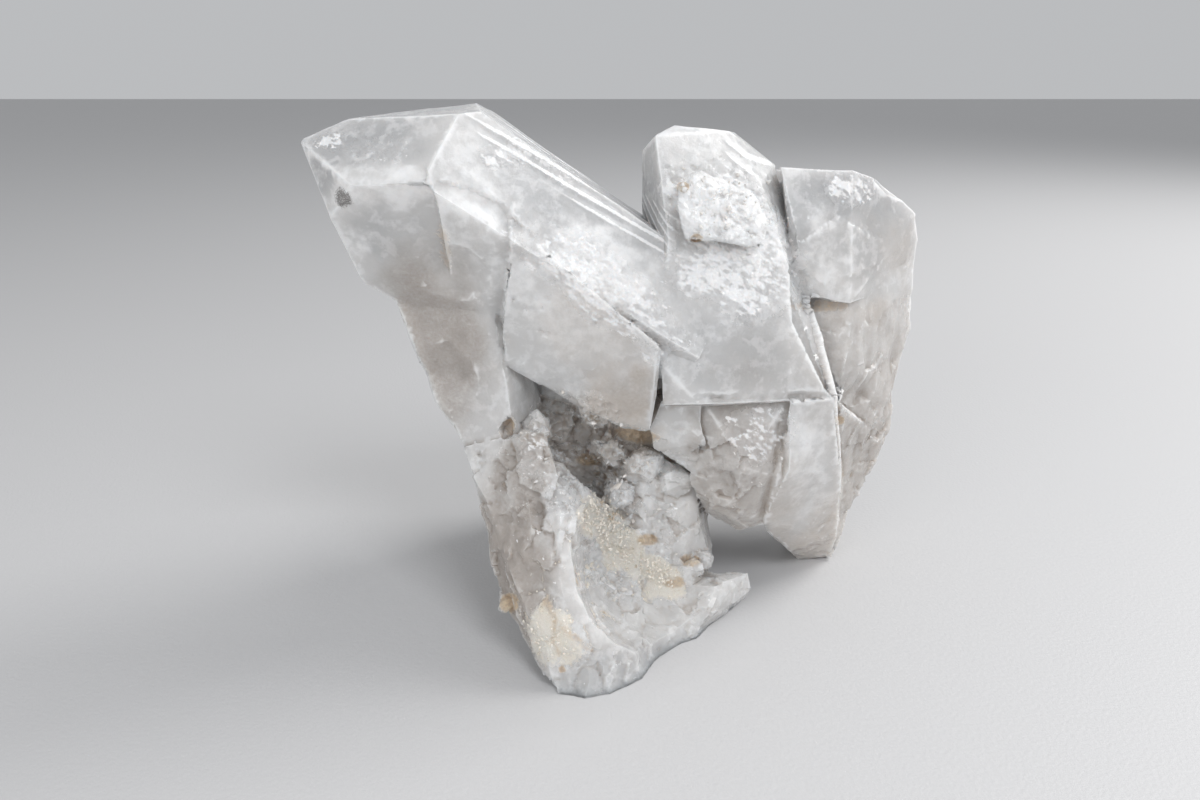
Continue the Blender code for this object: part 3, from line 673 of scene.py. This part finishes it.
def crowd(name, centres, axes, turns, widths, lengths, profile, sides, material):
    # every copy is rings of points round its axis: place = centre + axis * along + ring radius * (cos, sin)
    # profile rows are (share of the length, share of the width); the first and last rows are single points
    count = len(centres)
    helper = np.where(np.abs(axes[:, 2:3]) < 0.8, np.array([[0, 0, 1.0]]), np.array([[1.0, 0, 0]]))
    sideA = np.cross(axes, helper)
    sideA /= np.linalg.norm(sideA, axis=1, keepdims=True)
    sideB = np.cross(axes, sideA)
    rings = []
    for row, (along, radius) in enumerate(profile):
        many = 1 if row in (0, len(profile) - 1) else sides
        angle = np.arange(many) * 2 * math.pi / many
        angle = angle[None, :] + turns[:, None]
        middle = centres + axes * (along * lengths)[:, None]
        spread = (radius * widths)[:, None, None]
        ring = middle[:, None, :] + spread * (np.cos(angle)[:, :, None] * sideA[:, None, :]
                                              + np.sin(angle)[:, :, None] * sideB[:, None, :])
        rings.append(ring)
    points = np.concatenate(rings, axis=1)
    per = points.shape[1]
    faces = []
    starts = np.cumsum([0] + [ring.shape[1] for ring in rings])
    for k in range(sides):
        n = (k + 1) % sides
        faces.append((0, starts[1] + n, starts[1] + k))
        for row in range(1, len(profile) - 2):
            a, b = starts[row], starts[row + 1]
            faces.append((a + k, a + n, b + n))
            faces.append((a + k, b + n, b + k))
        last = starts[len(profile) - 2]
        faces.append((last + k, last + n, starts[len(profile) - 1]))
    faces = np.array(faces)
    every = (faces[None, :, :] + (np.arange(count) * per)[:, None, None]).reshape(-1, 3)
    mesh = bpy.data.meshes.new(name)
    mesh.from_pydata((points.reshape(-1, 3) / 1000).tolist(), [], every.tolist())
    bm = bmesh.new()
    bm.from_mesh(mesh)
    bmesh.ops.recalc_face_normals(bm, faces=bm.faces)
    bm.to_mesh(mesh)
    bm.free()
    mesh.materials.append(material)
    item = bpy.data.objects.new(name, mesh)
    bpy.context.scene.collection.objects.link(item)
    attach(item, "root")


def smallQuartzMaterial():
    material, tree, shader = newMaterial("druseQuartz")
    place = millimetres(tree)
    colour = blend(tree, noise(tree, place, 0.4).above(0.35, 0.65), druseCrystals["pale"], druseCrystals["warm"])
    tree.links.new(colour.socket, shader.inputs["Base Color"])
    tree.links.new((noise(tree, place, 1.5) * 0.2 + 0.1).socket, shader.inputs["Roughness"])
    shader.inputs["IOR"].default_value = stone["bend"]
    shader.inputs["Subsurface Weight"].default_value = druseCrystals["glow"]
    shader.inputs["Subsurface Radius"].default_value = stone["glowTint"]
    shader.inputs["Subsurface Scale"].default_value = druseCrystals["glowReach"]
    return material


def clayMaterial():
    material, tree, shader = newMaterial("dryClay")
    place = millimetres(tree)
    grain = noise(tree, place, 3.0)
    colour = blend(tree, grain.above(0.35, 0.65), clayGrains["deep"], clayGrains["pale"])
    colour = blend(tree, noise(tree, place, 0.35).above(0.55, 0.75), colour, clayGrains["stained"])
    tree.links.new(colour.socket, shader.inputs["Base Color"])
    bump = addNode(tree, "ShaderNodeBump", {}, {"Strength": 0.6, "Distance": 0.0002, "Height": grain})
    tree.links.new(bump.outputs[0], shader.inputs["Normal"])
    shader.inputs["Roughness"].default_value = 0.9
    return material


def readField(mesh, name):
    values = np.empty(len(mesh.vertices), np.float32)
    mesh.attributes[name].data.foreach_get("value", values)
    return values.astype(float)


print("growing the druse")
clayField = readField(stoneItem.data, "clay")
lifted = smooth(1.5, 3.0, skin.points[:, 2])   # nothing loose close to the table
kind = druseCrystals
picked, chance = pickPlaces(lifted * druse ** 2 * (1 - clayField), kind["count"], kind["seed"])
lengths = kind["small"] + (kind["large"] - kind["small"]) * chance.random(len(picked)) ** 2
directions = skin.normals[picked] + kind["scatter"] * (chance.random((len(picked), 3)) - 0.5)
directions /= np.linalg.norm(directions, axis=1, keepdims=True)
centres = skin.points[picked] - skin.normals[picked] * kind["sink"]
turns = chance.random(len(picked)) * 6.28
widths = lengths * (kind["thin"] + (kind["thick"] - kind["thin"]) * chance.random(len(picked)))
crowd("druse", centres, directions, turns, widths, lengths, kind["profile"], kind["sides"], smallQuartzMaterial())

print("crumbling the clay")
kind = clayGrains
picked, chance = pickPlaces(lifted * clayField ** 2, kind["count"], kind["seed"])
lengths = kind["small"] + (kind["large"] - kind["small"]) * chance.random(len(picked)) ** 2.5
directions = chance.normal(size=(len(picked), 3))
directions /= np.linalg.norm(directions, axis=1, keepdims=True)
centres = skin.points[picked] + kind["scatter"] * chance.normal(size=(len(picked), 3))
turns = chance.random(len(picked)) * 6.28
widths = lengths * (kind["thin"] + (kind["thick"] - kind["thin"]) * chance.random(len(picked)))
crowd("clay", centres, directions, turns, widths, lengths, kind["profile"], kind["sides"], clayMaterial())

print("laying the table and the light")
table = {"half": 3.0, "colour": (0.515, 0.513, 0.517, 1), "roughness": 0.55, "grainScale": 1.3}
floorMesh = bpy.data.meshes.new("floor")
half = table["half"]
floorMesh.from_pydata([(-half, -half, 0), (half, -half, 0), (half, half, 0), (-half, half, 0)], [], [(0, 1, 2, 3)])
floor = bpy.data.objects.new("floor", floorMesh)
bpy.context.scene.collection.objects.link(floor)
material, tree, shader = newMaterial("paleTable")
place = millimetres(tree)
shader.inputs["Base Color"].default_value = table["colour"]
shader.inputs["Roughness"].default_value = table["roughness"]
grain = noise(tree, place, table["grainScale"], 2.0)
bump = addNode(tree, "ShaderNodeBump", {}, {"Strength": 0.35, "Distance": 0.0002, "Height": grain})
tree.links.new(bump.outputs[0], shader.inputs["Normal"])
floorMesh.materials.append(material)

lights = {
    "key": {"place": (0.66, 0.26, 0.62), "size": 0.46, "power": 6.1, "colour": (1.0, 0.995, 0.985)},
    "left": {"place": (-0.34, -0.48, 0.20), "size": 0.30, "power": 1.1, "colour": (1.0, 0.995, 0.985)},
    "front": {"place": (0.24, -0.42, 0.52), "size": 0.26, "power": 2.0, "colour": (0.97, 0.98, 1.0)},
}
aim = Vector((0, 0, 0.045))   # the middle of the cluster
roomLight = {"colour": (0.70, 0.712, 0.73, 1), "strength": 0.71}
for name, values in lights.items():
    lamp = bpy.data.lights.new(name, "AREA")
    lamp.energy = values["power"]
    lamp.size = values["size"]
    lamp.color = values["colour"]
    lampItem = bpy.data.objects.new(name, lamp)
    lampItem.location = values["place"]
    lampItem.rotation_euler = (aim - lampItem.location).to_track_quat("-Z", "Y").to_euler()
    bpy.context.scene.collection.objects.link(lampItem)
world = bpy.data.worlds.new("soft")
world.use_nodes = True
background = world.node_tree.nodes["Background"]
background.inputs["Color"].default_value = roomLight["colour"]
background.inputs["Strength"].default_value = roomLight["strength"]
bpy.context.scene.world = world
